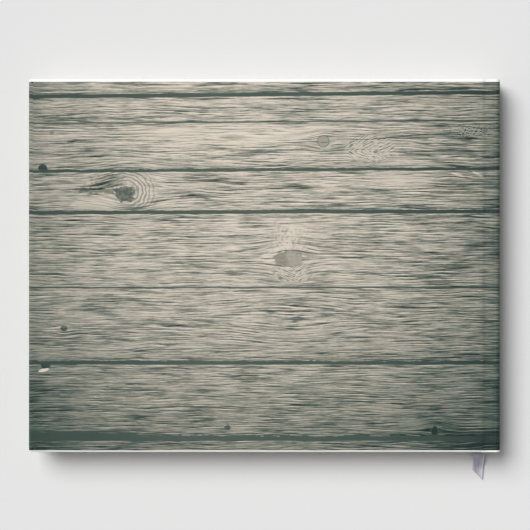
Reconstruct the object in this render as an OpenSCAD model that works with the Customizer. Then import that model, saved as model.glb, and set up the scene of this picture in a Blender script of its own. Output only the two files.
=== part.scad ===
/* [Cover] */
// Width of the closed book, from the fore edge to the outside of the spine
book_w = 285.8; // [200:0.1:360]
// Height of the covers, from tail to head
cover_h = 226; // [160:0.5:290]
// Thickness of the grey board in each cover
board_t = 2.5; // [1.8:0.1:3.5]
// Thickness of the printed cover sheet
wrap_t = 0.25; // [0.15:0.05:0.35]
// Radius of the covers' wrapped edges
edge_r = 1; // [0.6:0.1:1]
// Radius of the covers' corners, seen from above
corner_r = 1.8; // [1:0.1:4]
// Width of the cover sheet turned in over the inside of the boards
turn_in = 15; // [8:0.5:20]
// How far the covers stand past the pages at head, tail and fore edge
square = 4; // [2:0.1:5]
// Width of the flexible joint between each board and the spine board
joint_w = 9; // [8:0.1:12]
// Depth of the groove pressed into each joint
groove_d = 1.1; // [0.4:0.1:1.4]

/* [Pages] */
// Thickness of one sewn section of eight leaves
section_t = 1.6; // [1.2:0.01:2]
// Thickness of one of the leaves that turn with the back cover
leaf_t = 0.17; // [0.1:0.01:0.2]
// Thickness of an endpaper
endpaper_t = 0.2; // [0.15:0.01:0.3]
// Air between two neighbouring leaves
leaf_gap = 0.08; // [0.05:0.01:0.12]
// Air between two sewn sections
section_gap = 0.03; // [0.02:0.01:0.08]
// Air between the block of pages and each cover
cover_gap = 0.1; // [0.05:0.01:0.2]

/* [Spine] */
// Thickness of the spine board
spine_board_t = 2.2; // [1.6:0.1:2.6]
// Thickness of the crash cloth glued over the folds
mull_t = 0.3; // [0.2:0.05:0.4]
// Thickness of the paper liner glued over the crash cloth
liner_t = 0.2; // [0.15:0.05:0.3]
// Air between the liner and the spine board, which aren't glued together
hollow = 0.15; // [0.1:0.05:0.3]
// How far an opened cover's edge stays clear of the spine
open_clear = 0.7; // [0.4:0.1:1.5]
// Number of sewing stations along the folds
stations = 6; // [3:1:9]
// Thickness of the sewing thread
thread_d = 0.5; // [0.4:0.05:0.6]
// Diameter of the bead of the head and tail bands
band_d = 1.6; // [1.2:0.1:2]

/* [Ribbon] */
// Width of the ribbon marker
ribbon_w = 6.4; // [5:0.1:7]
// Thickness of the ribbon marker
ribbon_t = 0.3; // [0.2:0.05:0.35]
// Air between the ribbon and the pages on each side of it
ribbon_clear = 0.1; // [0.1:0.01:0.2]
// How much longer the ribbon's spine-side edge is than its other edge
ribbon_slant = 5.6; // [2:0.1:8]

/* [Hidden] */

sections = 7; // sewn sections that stay with the spine
leaves = 6; // leaves of the last section, which turn with the back cover
ribbon_section = 1; // the ribbon lies on this section

// Places across the book, from the outside of the spine inwards
x_out = book_w / 2;
x_fore = -x_out;
spine_in = x_out - wrap_t - spine_board_t;
liner_x = spine_in - hollow - liner_t;
mull_x = liner_x - mull_t;
fold_x = mull_x;
board_x = spine_in - joint_w;
page_x = x_fore + square;
// The hinge line lies halfway between a board's edge and the place that it reaches when opened flat
hinge_x = (board_x + x_out + open_clear) / 2;

// Heights, from the outside of the front cover upwards
cover_t = wrap_t + board_t + endpaper_t;
flyleaf_z = cover_t + cover_gap;
section_pitch = section_t + section_gap;
ribbon_room = ribbon_t + 2 * ribbon_clear;
block_z = flyleaf_z + endpaper_t + leaf_gap;
leaf_pitch = leaf_t + leaf_gap;
leaves_z = block_z + sections * section_pitch + ribbon_room;
back_flyleaf_z = leaves_z + leaves * leaf_pitch;
back_hinge_z = back_flyleaf_z + endpaper_t + cover_gap;
front_hinge_z = cover_t;
total_t = back_hinge_z + cover_t;

page_h = cover_h - 2 * square;
cut = 1; // how far a cutting shape runs past the face that it opens
arc_n = 5; // flat steps in a quarter of a round edge
fold_n = 8; // flat steps in a quarter of a paper fold
groove_n = 10; // flat steps across a joint's groove
bead_drop = 0.15; // how far the spine's round edge lies below the cover's face
spine_r = cover_t - bead_drop;
bead_x = x_out - spine_r;
mull_short = 12; // how far the crash cloth stops short of the pages' ends
mull_flange = 4; // width of the crash cloth folded over the first and last sheets
mull_clear = 0.05; // air between the crash cloth and the endpapers
liner_short = 1.5; // how far the liner stops short of the pages' ends
band_tape = 11; // length of the bands' tape glued along the folds
notch = 0.1; // clearance round the sewing thread in the folds
station_margin = 14; // distance of the outer sewing stations from the pages' ends
fold_bar = 1.1; // depth of the glued back of the last section
fold_round = 0.45; // radius of a section's fold, as a share of its thickness

// The ribbon's middle line, from the glued end at the head to the cut end on the table
RIBBON = [[133.6, 107, 5.2], [133.5, 100, 5.2], [133.3, 80, 5.2], [133.1, 60, 5.2], [132.9, 40, 5.2],
    [132.7, 20, 5.2], [132.6, 0, 5.2], [132.4, -20, 5.2], [132.3, -40, 5.2], [132.2, -60, 5.2],
    [132.1, -80, 5.2], [132.1, -100, 5.2], [132.1, -107, 5.2], [132.1, -110, 5.1], [132, -113, 4.6],
    [131.9, -116, 3.5], [131.8, -119, 2.1], [131.6, -122, 0.9], [131.4, -125, 0.25], [131, -131.6, 0.25]];

board_colour = "#9a8f80";
print_colour = "#7e8178";
paper_colour = "#f1efe8";
endpaper_colour = "#f7f5f0";
cloth_colour = "#e4dfd2";
liner_colour = "#c4ab86";
thread_colour = "#f6f3ea";
band_colour = "#dcdce0";
ribbon_colour = "#b5b2bd";

// Points on an arc of radius r about [x, y]
function arc(x, y, r, from, to, n) = [for (i = [0 : n])
    let (a = from + (to - from) * i / n) [x + r * cos(a), y + r * sin(a)]];

// A rectangle with round corners
function round_rect(x0, y0, x1, y1, r) = concat(arc(x1 - r, y1 - r, r, 0, 90, arc_n),
    arc(x0 + r, y1 - r, r, 90, 180, arc_n), arc(x0 + r, y0 + r, r, 180, 270, arc_n),
    arc(x1 - r, y0 + r, r, 270, 360, arc_n));

// A rectangle whose left corners are round
function half_round_rect(x0, y0, x1, y1, r) = concat([[x1, y1]], arc(x0 + r, y1 - r, r, 90, 180, arc_n),
    arc(x0 + r, y0 + r, r, 180, 270, arc_n), [[x1, y0]]);

// An outline across the book, drawn out from tail to head
module across(length) rotate([90, 0, 0]) linear_extrude(length, center = true) children();

// A cover's body with round outer edges, smaller by inset all round
module cover_body(inset, far_x) {
    low = inset;
    high = wrap_t + board_t;
    half_h = cover_h / 2 - inset;
    r = edge_r - inset;
    intersection() {
        translate([x_fore + inset, 0, 0]) rotate([90, 0, 90]) linear_extrude(far_x - x_fore - inset)
            polygon(round_rect(-half_h, low, half_h, high, r));
        across(cover_h) polygon(half_round_rect(x_fore + inset, low, far_x, high, r));
        translate([0, 0, low - cut]) linear_extrude(high - low + 2 * cut)
            polygon(half_round_rect(x_fore + inset, -half_h, far_x, half_h, corner_r - inset));
    }
}

// The middle of a board's inner face, which the turned-in sheet leaves bare
module bare_face(far_x) translate([x_fore + turn_in, -cover_h / 2 + turn_in, board_t - cut])
    cube([far_x - x_fore - turn_in, cover_h - 2 * turn_in, wrap_t + 2 * cut]);

// The board, with a step that takes the turned-in sheet flush
module board() color(board_colour) difference() {
    cover_body(wrap_t, board_x);
    difference() {
        translate([x_fore - cut, -cover_h, board_t]) cube([book_w, 2 * cover_h, wrap_t + cut]);
        bare_face(board_x + cut);
    }
}

// The cover sheet over one board's face and edges, and turned in behind it
module cover_wrap() color(print_colour) difference() {
    cover_body(0, board_x);
    intersection() {
        cover_body(wrap_t, board_x + cut);
        translate([x_fore, -cover_h, 0]) cube([book_w + cut, 2 * cover_h, board_t]);
    }
    bare_face(board_x + cut);
}

module pastedown() color(endpaper_colour) translate([page_x, -page_h / 2, wrap_t + board_t])
    cube([board_x - page_x, page_h, endpaper_t]);

// The outer line of a joint: a shallow groove, then a round edge down to the spine
function joint_line(t) = concat(
    [for (i = [0 : groove_n]) let (u = i / groove_n)
        [board_x + (bead_x - board_x) * u, t + bead_drop * u + groove_d * (1 - cos(360 * u)) / 2]],
    arc(bead_x, cover_t, spine_r - t, -90, 0, arc_n));

module joint_strip() color(print_colour) across(cover_h)
    polygon(concat(joint_line(0), reversed(joint_line(wrap_t))));

function reversed(list) = [for (i = [len(list) - 1 : -1 : 0]) list[i]];

// What is made for the front cover, turned over to serve as the back cover
module as_back() translate([0, 0, total_t]) mirror([0, 0, 1]) children();

// The sheet from an endpaper's pasted half to its free half, folded back along the spine
module endpaper_fold() color(endpaper_colour) across(page_h) {
    low = wrap_t + board_t;
    high = flyleaf_z + endpaper_t;
    r = (high - low) / 2;
    polygon(concat([[board_x, low]], arc(fold_x - r, low + r, r, -90, 90, fold_n), [[board_x, high]],
        [[board_x, flyleaf_z]], arc(fold_x - r, low + r, r - endpaper_t, 90, -90, fold_n),
        [[board_x, cover_t]]));
}

module flyleaf() color(endpaper_colour) translate([page_x, -page_h / 2, flyleaf_z])
    cube([board_x - page_x, page_h, endpaper_t]);

function section_z(i) = block_z + (i - 1) * section_pitch + (i > ribbon_section ? ribbon_room : 0);

// Places its children at each sewing station
module at_stations() for (i = [0 : stations - 1])
    translate([0, -page_h / 2 + station_margin + i * (page_h - 2 * station_margin) / (stations - 1), 0])
        children();

// Narrow notches sawn into the folds, which the thread runs in
module notches(z0, z1) at_stations() translate([fold_x - thread_d - 2 * notch, -thread_d / 2 - notch, z0])
    cube([thread_d + 2 * notch + cut, thread_d + 2 * notch, z1 - z0]);

// One sewn section, round at its folds and open in narrow notches for the thread
module section(i) color(paper_colour) difference() {
    mirror([1, 0, 0]) across(page_h)
        polygon(half_round_rect(-fold_x, section_z(i), -page_x, section_z(i) + section_t, section_t * fold_round));
    notches(section_z(i) - cut, section_z(i) + section_t + cut);
}

function leaf_z(i) = leaves_z + (i - 1) * leaf_pitch;

module leaf(i) color(paper_colour) translate([page_x, -page_h / 2, leaf_z(i)])
    cube([board_x - page_x, page_h, leaf_t]);

// The gutter of the last section: its leaves' inner edges, joined in the glued folds
module last_section_fold() color(paper_colour) difference() {
    union() {
        for (i = [1 : leaves]) translate([board_x, -page_h / 2, leaf_z(i)])
            cube([fold_x - board_x - fold_bar / 2, page_h, leaf_t]);
        translate([fold_x - fold_bar, -page_h / 2, leaf_z(1)])
            cube([fold_bar, page_h, leaf_z(leaves) + leaf_t - leaf_z(1)]);
    }
    notches(leaf_z(1) - cut, back_flyleaf_z + cut);
}

module sewing_thread() color(thread_colour) at_stations()
    translate([fold_x - thread_d / 2 - notch, 0, block_z])
        cylinder(h = leaf_z(leaves) + leaf_t - block_z, d = thread_d, $fn = 8);

// The crash cloth down the folds, with a narrow flange outside each endpaper
module mull() color(cloth_colour) across(page_h - 2 * mull_short) {
    low = wrap_t + board_t - mull_clear;
    high = total_t - low;
    polygon([[mull_x - mull_flange, low - mull_t], [liner_x, low - mull_t], [liner_x, high + mull_t],
        [mull_x - mull_flange, high + mull_t], [mull_x - mull_flange, high], [mull_x, high],
        [mull_x, low], [mull_x - mull_flange, low]]);
}

module spine_liner() color(liner_colour)
    translate([liner_x, -page_h / 2 + liner_short, block_z])
        cube([liner_t, page_h - 2 * liner_short, back_flyleaf_z - block_z]);

// A band at the head: a bead over the pages' ends, and the tape that holds it to the folds
module band() color(band_colour) {
    edge = page_h / 2 + leaf_gap;
    high = back_flyleaf_z - block_z;
    translate([mull_x, page_h / 2 - band_tape, block_z])
        cube([mull_t, band_tape + leaf_gap + band_d, high]);
    translate([mull_x - band_d / 2, edge, block_z]) cube([band_d / 2 + mull_t, band_d, high]);
    translate([mull_x - band_d / 2, edge + band_d / 2, block_z]) cylinder(h = high, d = band_d, $fn = 12);
}

// The spine board and the sheet round it share the outline of a board turned on its edge
module spine_outline(inset) polygon([[spine_in, -cover_h / 2 + inset], [x_out - inset, -cover_h / 2 + inset],
    [x_out - inset, cover_h / 2 - inset], [spine_in, cover_h / 2 - inset]]);

module spine_core() difference() {
    spine_outline(wrap_t);
    for (side = [-1, 1]) translate([spine_in - cut, side * (cover_h - turn_in) / 2 - turn_in / 2])
        square([wrap_t + cut, turn_in]);
}

module spine_board() color(board_colour) translate([0, 0, front_hinge_z])
    linear_extrude(back_hinge_z - front_hinge_z) spine_core();

module spine_wrap() color(print_colour) translate([0, 0, front_hinge_z])
    linear_extrude(back_hinge_z - front_hinge_z) difference() {
        spine_outline(0);
        spine_core();
        translate([spine_in - cut, -cover_h / 2 + turn_in]) square([wrap_t + cut, cover_h - 2 * turn_in]);
    }

// A point of the ribbon's middle line, moved sideways by width in the plane of two of its axes
function beside(i, flat, up, width) = let (
    run = RIBBON[min(i + 1, len(RIBBON) - 1)] - RIBBON[max(i - 1, 0)],
    ahead = [run[flat], run[up]] / norm([run[flat], run[up]]))
    [RIBBON[i][flat] - ahead[1] * width, RIBBON[i][up] + ahead[0] * width];

// Both edges of the ribbon, as seen along the third axis
function ribbon_edges(flat, up, width) = concat(
    [for (i = [0 : len(RIBBON) - 1]) beside(i, flat, up, width / 2)],
    [for (i = [len(RIBBON) - 1 : -1 : 0]) beside(i, flat, up, -width / 2)]);

// The ribbon's run from head to tail, cut to its width, with its end on the slant
module ribbon() color(ribbon_colour) difference() {
    intersection() {
        rotate([90, 0, 90]) linear_extrude(book_w) polygon(ribbon_edges(1, 2, ribbon_t));
        linear_extrude(total_t) polygon(ribbon_edges(0, 1, ribbon_w));
    }
    tip = RIBBON[len(RIBBON) - 1];
    translate([tip[0], tip[1] + ribbon_slant / 2, -cut]) rotate(-atan2(ribbon_slant, ribbon_w))
        translate([-book_w / 2, -book_w]) cube([book_w, book_w, total_t]);
}

board();  // front_board
cover_wrap();  // front_cover_wrap
pastedown();  // front_pastedown
joint_strip();  // front_joint_strip
as_back() board();  // back_board
as_back() cover_wrap();  // back_cover_wrap
as_back() pastedown();  // back_pastedown
as_back() joint_strip();  // back_joint_strip
spine_board();
spine_wrap();
flyleaf();  // front_flyleaf
endpaper_fold();  // front_endpaper_fold
as_back() flyleaf();  // back_flyleaf
as_back() endpaper_fold();  // back_endpaper_fold
for (i = [1 : sections]) section(i);
for (i = [1 : leaves]) leaf(i);
last_section_fold();
sewing_thread();
mull();
spine_liner();
band();  // headband
mirror([0, 1, 0]) band();  // tailband
ribbon();
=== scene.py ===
"""Wedding guest book: the looks of every piece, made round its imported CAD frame. Lengths are metres."""

import math
import random

import bpy
from bpy.props import FloatProperty, FloatVectorProperty, IntProperty, PointerProperty
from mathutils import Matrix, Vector


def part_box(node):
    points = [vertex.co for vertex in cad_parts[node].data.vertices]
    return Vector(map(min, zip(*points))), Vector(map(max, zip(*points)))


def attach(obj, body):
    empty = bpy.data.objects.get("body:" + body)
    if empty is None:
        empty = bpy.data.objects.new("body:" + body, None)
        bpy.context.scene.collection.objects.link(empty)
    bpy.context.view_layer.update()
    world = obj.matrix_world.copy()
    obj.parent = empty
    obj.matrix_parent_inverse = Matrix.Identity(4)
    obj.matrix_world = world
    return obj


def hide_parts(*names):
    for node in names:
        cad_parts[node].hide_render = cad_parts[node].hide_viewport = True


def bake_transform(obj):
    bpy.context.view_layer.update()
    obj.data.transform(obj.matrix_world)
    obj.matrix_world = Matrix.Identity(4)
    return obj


bl_info = {
    "name": "Wedding guest book",
    "version": (1, 0, 0),
    "blender": (4, 5, 0),
    "location": "View3D > Sidebar > Guest book",
    "description": "Makes a case-bound guest book with printed boards, sewn pages and a ribbon",
    "category": "Object",
}

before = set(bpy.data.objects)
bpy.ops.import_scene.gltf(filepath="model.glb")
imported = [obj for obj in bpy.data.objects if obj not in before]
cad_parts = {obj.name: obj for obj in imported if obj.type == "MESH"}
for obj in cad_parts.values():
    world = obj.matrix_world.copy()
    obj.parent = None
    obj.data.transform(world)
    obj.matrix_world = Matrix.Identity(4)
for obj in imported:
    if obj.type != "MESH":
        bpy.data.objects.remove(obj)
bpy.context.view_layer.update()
MM = 0.001

# Places on the book, all from the frame
WRAP_LOW, WRAP_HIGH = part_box("back_cover_wrap")
SPINE_LOW, SPINE_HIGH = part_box("spine_wrap")
BLOCK_LOW, BLOCK_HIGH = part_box("section_1")
FORE_EDGE = WRAP_LOW.x
BOARD_END = WRAP_HIGH.x
HALF_HEIGHT = WRAP_HIGH.y
THICKNESS = WRAP_HIGH.z
SPINE_FACE = SPINE_HIGH.x
BACK_HINGE_Z = SPINE_HIGH.z
GUTTER = BLOCK_HIGH.x

PANEL_DEPTH = WRAP_HIGH.z - WRAP_LOW.z
EDGE_RADIUS = 1.0 * MM
LOWER_RADIUS = 0.3 * MM
CORNER_RADIUS = 1.8 * MM
TURN_IN = 15.0 * MM
SHEET_THICKNESS = 0.2 * MM
GROOVE_DEPTH = 0.5 * MM
BEAD_DROP = 0.25 * MM
SPINE_ROUND = 2.8 * MM
FOLDED_EDGE = 0.5 * MM
# Flat rim of the cover sheet before its edge rounds over
FLAT_RIM = 2.5 * MM
BAND_RADIUS = 0.8 * MM
BAND_TURNS = 30
STEPS_TO_TURN = 6
# Where the joint's groove starts and ends going down, and coming up again, from the board's end
GROOVE_DOWN = (0.0, 3.2 * MM)
GROOVE_UP = (4.4 * MM, 7.6 * MM)
RIBBON_THICKNESS = 0.26 * MM
RIBBON_SLANT = 5.6 * MM
RIBBON_TAIL = 24 * MM
ENDPAPER_THICKNESS = 0.18 * MM
CLOTH_THICKNESS = 0.24 * MM
# The widest unevenness of the leaves' cut edges, at the fore edge and at the head and tail
FORE_UNEVEN = 0.14
END_UNEVEN = 0.1

# The camera's framing, and the key light's slant and softness in degrees
VIEW_WIDTH = 321.07 * MM
VIEW_CENTRE = (0.22 * MM, 0.42 * MM)
LIGHT_SLANT = 30
LIGHT_SPREAD = 40
FLOOR_REACH = 4.0

# The ribbon's middle line in millimetres, the same points as its CAD solid
RIBBON_ROUTE = [
    (133.6, 107, 5.2), (133.5, 100, 5.2), (133.3, 80, 5.2), (133.1, 60, 5.2), (132.9, 40, 5.2),
    (132.7, 20, 5.2), (132.6, 0, 5.2), (132.4, -20, 5.2), (132.3, -40, 5.2), (132.2, -60, 5.2),
    (132.1, -80, 5.2), (132.1, -100, 5.2), (132.1, -107, 5.2), (132.1, -110, 5.1), (132, -113, 4.6),
    (131.9, -116, 3.5), (131.8, -119, 2.1), (131.6, -122, 0.9), (131.4, -125, 0.25), (131, -131.6, 0.25),
]


def display(red, green, blue):
    """A colour given as it shows on a display, 0 to 255, as linear values with alpha."""
    def channel(value):
        share = value / 255
        return share / 12.92 if share <= 0.04045 else ((share + 0.055) / 1.055) ** 2.4
    return (channel(red), channel(green), channel(blue), 1.0)


# ---------------------------------------------------------------- shader maths

class Wire:
    """One value in a finish. Arithmetic on it adds Math nodes."""

    def __init__(self, finish, socket):
        self.finish = finish
        self.socket = socket

    def maths(self, operation, *values):
        return self.finish.node("ShaderNodeMath", {"operation": operation}, dict(enumerate(values)))

    def __add__(self, other):
        return self.maths("ADD", self, other)

    def __sub__(self, other):
        return self.maths("SUBTRACT", self, other)

    def __rsub__(self, other):
        return self.maths("SUBTRACT", other, self)

    def __mul__(self, other):
        return self.maths("MULTIPLY", self, other)

    def __truediv__(self, other):
        return self.maths("DIVIDE", self, other)

    def __abs__(self):
        return self.maths("ABSOLUTE", self)

    def __gt__(self, other):
        return self.maths("GREATER_THAN", self, other)

    def __neg__(self):
        return self.maths("MULTIPLY", self, -1.0)

    __radd__ = __add__
    __rmul__ = __mul__

    def most(self, other):
        return self.maths("MAXIMUM", self, other)

    def least(self, other):
        return self.maths("MINIMUM", self, other)

    def sine(self):
        return self.maths("SINE", self)

    def root(self):
        return self.maths("SQRT", self)

    def bell(self):
        """1 where this is 0, falling off smoothly as it grows."""
        return self.maths("EXPONENT", self * -1.0)

    def rise(self, low, high):
        """0 below low, 1 above high and smooth between. With low above high it falls."""
        return self.finish.node("ShaderNodeMapRange", {"interpolation_type": "SMOOTHSTEP"},
                                {"Value": self, "From Min": low, "From Max": high})


class Finish:
    """A material in the making."""

    def __init__(self, name):
        self.material = bpy.data.materials.new(name)
        self.material.use_nodes = True
        self.tree = self.material.node_tree
        self.tree.nodes.clear()

    def node(self, kind, settings=None, inputs=None, output=0):
        """Adds a node: its settings first, then the values or links of its sockets."""
        made = self.tree.nodes.new(kind)
        for name, value in (settings or {}).items():
            if name == "stops":
                ramp = made.color_ramp
                while len(ramp.elements) < len(value):
                    ramp.elements.new(0.5)
                for element, (position, colour) in zip(ramp.elements, value):
                    element.position, element.color = position, colour
            else:
                setattr(made, name, value)
        for name, value in (inputs or {}).items():
            if isinstance(value, Wire):
                self.tree.links.new(value.socket, made.inputs[name])
            else:
                made.inputs[name].default_value = value
        return Wire(self, made.outputs[output]) if made.outputs else None

    def sheet_place(self):
        """Where a point lies on its unrolled sheet, in millimetres."""
        flat = self.node("ShaderNodeUVMap", {"uv_map": "sheet"})
        apart = self.node("ShaderNodeSeparateXYZ", None, {0: flat})
        across = Wire(self, apart.socket.node.outputs[0]) * (1 / MM)
        up = Wire(self, apart.socket.node.outputs[1]) * (1 / MM)
        return across, up

    def solid_place(self):
        """Where a point lies in a rigid piece, in millimetres."""
        place = self.node("ShaderNodeTexCoord", None, None, "Object")
        apart = self.node("ShaderNodeSeparateXYZ", None, {0: place})
        return [Wire(self, apart.socket.node.outputs[k]) * (1 / MM) for k in range(3)]

    def noise(self, x, y, z=0.0, detail=2.0, rough=0.5, swirl=0.0):
        """Smooth noise about 0.5, one wave to a unit of x, y and z."""
        place = self.node("ShaderNodeCombineXYZ", None, {0: x, 1: y, 2: z})
        return self.node("ShaderNodeTexNoise", {"noise_dimensions": "3D"},
                         {"Vector": place, "Scale": 1.0, "Detail": detail, "Roughness": rough,
                          "Distortion": swirl})

    def blend(self, share, first, second, way="MIX"):
        return self.node("ShaderNodeMix", {"data_type": "RGBA", "blend_type": way},
                         {0: share, 6: first, 7: second}, 2)

    def ramp(self, value, stops):
        return self.node("ShaderNodeValToRGB", {"stops": stops}, {0: value})

    def done(self, colour, roughness, height=None, depth=0.05 * MM, strength=1.0, **fixed):
        """Closes the finish with its shader. Height is in units of depth."""
        inputs = {"Base Color": colour, "Roughness": roughness}
        inputs.update({name.replace("_", " "): value for name, value in fixed.items()})
        if height is not None:
            inputs["Normal"] = self.node("ShaderNodeBump", None,
                                         {"Height": height, "Distance": depth, "Strength": strength})
        shader = self.node("ShaderNodeBsdfPrincipled", None, inputs)
        self.node("ShaderNodeOutputMaterial", None, {"Surface": shader})
        return self.material


# ---------------------------------------------------------------- settings

class CoverSettings(bpy.types.PropertyGroup):
    border: FloatProperty(
        name="White border", description="Unprinted margin at the head and tail of the cover sheet",
        default=1.35 * MM, min=0.0, max=5 * MM, unit="LENGTH")
    grain_contrast: FloatProperty(
        name="Grain contrast", description="How dark the printed grain is against its planks",
        default=1.0, min=0.3, max=1.5, subtype="FACTOR")
    gloss_roughness: FloatProperty(
        name="Laminate roughness", description="Roughness of the matt film over the print",
        default=0.55, min=0.1, max=1.0, subtype="FACTOR")


class PaperSettings(bpy.types.PropertyGroup):
    page_colour: FloatVectorProperty(
        name="Page colour", description="Colour of the writing paper",
        default=display(240, 237, 228)[:3], size=3, min=0.0, max=1.0, subtype="COLOR")
    endpaper_colour: FloatVectorProperty(
        name="Endpaper colour", description="Colour of the endpapers",
        default=display(243, 241, 236)[:3], size=3, min=0.0, max=1.0, subtype="COLOR")
    page_thickness: FloatProperty(
        name="Page thickness", description="Thickness of one leaf", default=0.17 * MM,
        min=0.08 * MM, max=0.3 * MM, unit="LENGTH")
    leaves_to_section: IntProperty(
        name="Leaves to a section", description="Leaves in one sewn section, twice its folded sheets",
        default=8, min=4, max=12)


class RibbonSettings(bpy.types.PropertyGroup):
    colour: FloatVectorProperty(
        name="Ribbon colour", description="Colour of the satin ribbon marker",
        default=display(178, 175, 188)[:3], size=3, min=0.0, max=1.0, subtype="COLOR")
    width: FloatProperty(
        name="Ribbon width", description="Width of the ribbon marker", default=6.4 * MM,
        min=3 * MM, max=12 * MM, unit="LENGTH")


class StageSettings(bpy.types.PropertyGroup):
    light: FloatProperty(
        name="Key light", description="Strength of the soft key light", default=3.0, min=0.0, max=10.0)
    fill: FloatProperty(
        name="Fill light", description="Strength of the even light from all round", default=0.25,
        min=0.0, max=2.0)
    floor_colour: FloatVectorProperty(
        name="Floor colour", description="Colour of the plain floor",
        default=display(230, 230, 230)[:3], size=3, min=0.0, max=1.0, subtype="COLOR")


class BookSettings(bpy.types.PropertyGroup):
    cover: PointerProperty(type=CoverSettings)
    paper: PointerProperty(type=PaperSettings)
    ribbon: PointerProperty(type=RibbonSettings)
    stage: PointerProperty(type=StageSettings)


# ---------------------------------------------------------------- meshes

def make_piece(name, points, faces, places, finishes, smooth=True, finish_of=None):
    """A mesh piece from its points and faces, with each point's place on the unrolled sheet."""
    mesh = bpy.data.meshes.new(name)
    mesh.from_pydata([tuple(p) for p in points], [], faces)
    sheet = mesh.uv_layers.new(name="sheet")
    for loop in mesh.loops:
        sheet.data[loop.index].uv = places[loop.vertex_index]
    for finish in finishes:
        mesh.materials.append(finish)
    for polygon in mesh.polygons:
        polygon.use_smooth = smooth
        if finish_of:
            polygon.material_index = finish_of[polygon.index]
    mesh.validate()
    piece = bpy.data.objects.new(name, mesh)
    bpy.context.scene.collection.objects.link(piece)
    return piece


def settled(piece):
    """The piece with its modifiers worked into its mesh."""
    graph = bpy.context.evaluated_depsgraph_get()
    mesh = bpy.data.meshes.new_from_object(piece.evaluated_get(graph))
    piece.modifiers.clear()
    piece.data = mesh
    return piece


def arc_points(centre_x, centre_z, radius, start, stop, steps):
    return [(centre_x + radius * math.cos(start + (stop - start) * k / steps),
             centre_z + radius * math.sin(start + (stop - start) * k / steps)) for k in range(steps + 1)]


def shell_faces(count, rows):
    """The faces of a thin closed strip: its two sides, each count by rows + 1 points, and its edges."""
    def at(side, k, j):
        return (side * count + k) * (rows + 1) + j

    faces = []
    for k in range(count - 1):
        for j in range(rows):
            faces.append((at(0, k, j), at(0, k + 1, j), at(0, k + 1, j + 1), at(0, k, j + 1)))
            faces.append((at(1, k, j), at(1, k, j + 1), at(1, k + 1, j + 1), at(1, k + 1, j)))
        faces.append((at(0, k, 0), at(1, k, 0), at(1, k + 1, 0), at(0, k + 1, 0)))
        faces.append((at(0, k, rows), at(0, k + 1, rows), at(1, k + 1, rows), at(1, k, rows)))
    end = count - 1
    for j in range(rows):
        faces.append((at(0, 0, j), at(0, 0, j + 1), at(1, 0, j + 1), at(1, 0, j)))
        faces.append((at(0, end, j), at(1, end, j), at(1, end, j + 1), at(0, end, j + 1)))
    return faces


def eased(share):
    """A share from 0 to 1 that starts and ends gently."""
    return share * share * (3 - 2 * share)


def strip_along(path, thickness, low, high, rows=1):
    """Points, faces and places of a thin strip that follows a path in x and z, from low to high in y."""
    count = len(path)
    points, places = [], []
    run = [0.0]
    for (x0, z0), (x1, z1) in zip(path, path[1:]):
        run.append(run[-1] + math.hypot(x1 - x0, z1 - z0))
    for side in (0.5, -0.5):
        for k, (x, z) in enumerate(path):
            x0, z0 = path[max(k - 1, 0)]
            x1, z1 = path[min(k + 1, count - 1)]
            length = math.hypot(x1 - x0, z1 - z0)
            nx, nz = -(z1 - z0) / length, (x1 - x0) / length
            for j in range(rows + 1):
                y = low + (high - low) * j / rows
                points.append((x + nx * thickness * side, y, z + nz * thickness * side))
                places.append((path[0][0] - run[k], y))
    return points, shell_faces(count, rows), places


def joined(parts):
    """Several strips as one."""
    points, faces, places = [], [], []
    for more_points, more_faces, more_places in parts:
        start = len(points)
        points += more_points
        places += more_places
        faces += [tuple(k + start for k in face) for face in more_faces]
    return points, faces, places


# ---------------------------------------------------------------- the cover sheet

def joint_line():
    """The cover sheet's outer face from the board to half way down the spine.
    Each point is (x, z, unrolled place, depth of its folded edge)."""
    start = BOARD_END - 0.1 * MM
    bead_end = SPINE_FACE - SPINE_ROUND
    groove_z = THICKNESS - GROOVE_DEPTH
    bead_z = THICKNESS - BEAD_DROP
    line = [(start - 0.75 * MM, THICKNESS)]
    for (first, last), z_from, z_to in ((GROOVE_DOWN, THICKNESS, groove_z), (GROOVE_UP, groove_z, bead_z)):
        x_from, x_to = start + first, start + last
        for k in range(11):
            share = k / 10
            line.append((x_from + (x_to - x_from) * share, z_from + (z_to - z_from) * eased(share)))
    rise_to = line[-1][0]
    line.append(((rise_to + bead_end) / 2, bead_z))
    line += arc_points(bead_end, BACK_HINGE_Z, SPINE_ROUND, math.pi / 2, 0, 12)
    middle = THICKNESS / 2
    line += [(SPINE_FACE, BACK_HINGE_Z + (middle - BACK_HINGE_Z) * share)
             for share in (0.03, 0.1, 0.4, 0.7, 1)]
    deep = SPINE_HIGH.x - SPINE_LOW.x
    run, made = 0.0, []
    for k, (x, z) in enumerate(line):
        if k:
            run += math.hypot(x - line[k - 1][0], z - line[k - 1][1])
        if x < start + 0.2 * MM:
            depth = PANEL_DEPTH
        elif z < BACK_HINGE_Z - 0.3 * MM:
            depth = deep
        else:
            depth = FOLDED_EDGE
        made.append((x, z, line[0][0] + run, depth))
    return made


JOINT_LINE = joint_line()
SHEET_MIDDLE = JOINT_LINE[-1][2]


def edge_steps():
    """The cover's edge from its flat face round to the end of the turn-in, as (inset, drop, run)."""
    line = [(FLAT_RIM, 0.0)]
    line += [(EDGE_RADIUS - x, EDGE_RADIUS - z)
             for x, z in arc_points(0, 0, EDGE_RADIUS, math.pi / 2, 0, 6)]
    line += [(LOWER_RADIUS - x, PANEL_DEPTH - LOWER_RADIUS - z)
             for x, z in arc_points(0, 0, LOWER_RADIUS, 0, -math.pi / 2, 4)]
    line += [(2.4 * MM, PANEL_DEPTH), (TURN_IN, PANEL_DEPTH)]
    steps, run = [], -FLAT_RIM
    for k, (inset, drop) in enumerate(line):
        if k:
            run += math.hypot(inset - line[k - 1][0], drop - line[k - 1][1])
        steps.append((inset, drop, run))
    return steps


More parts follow.
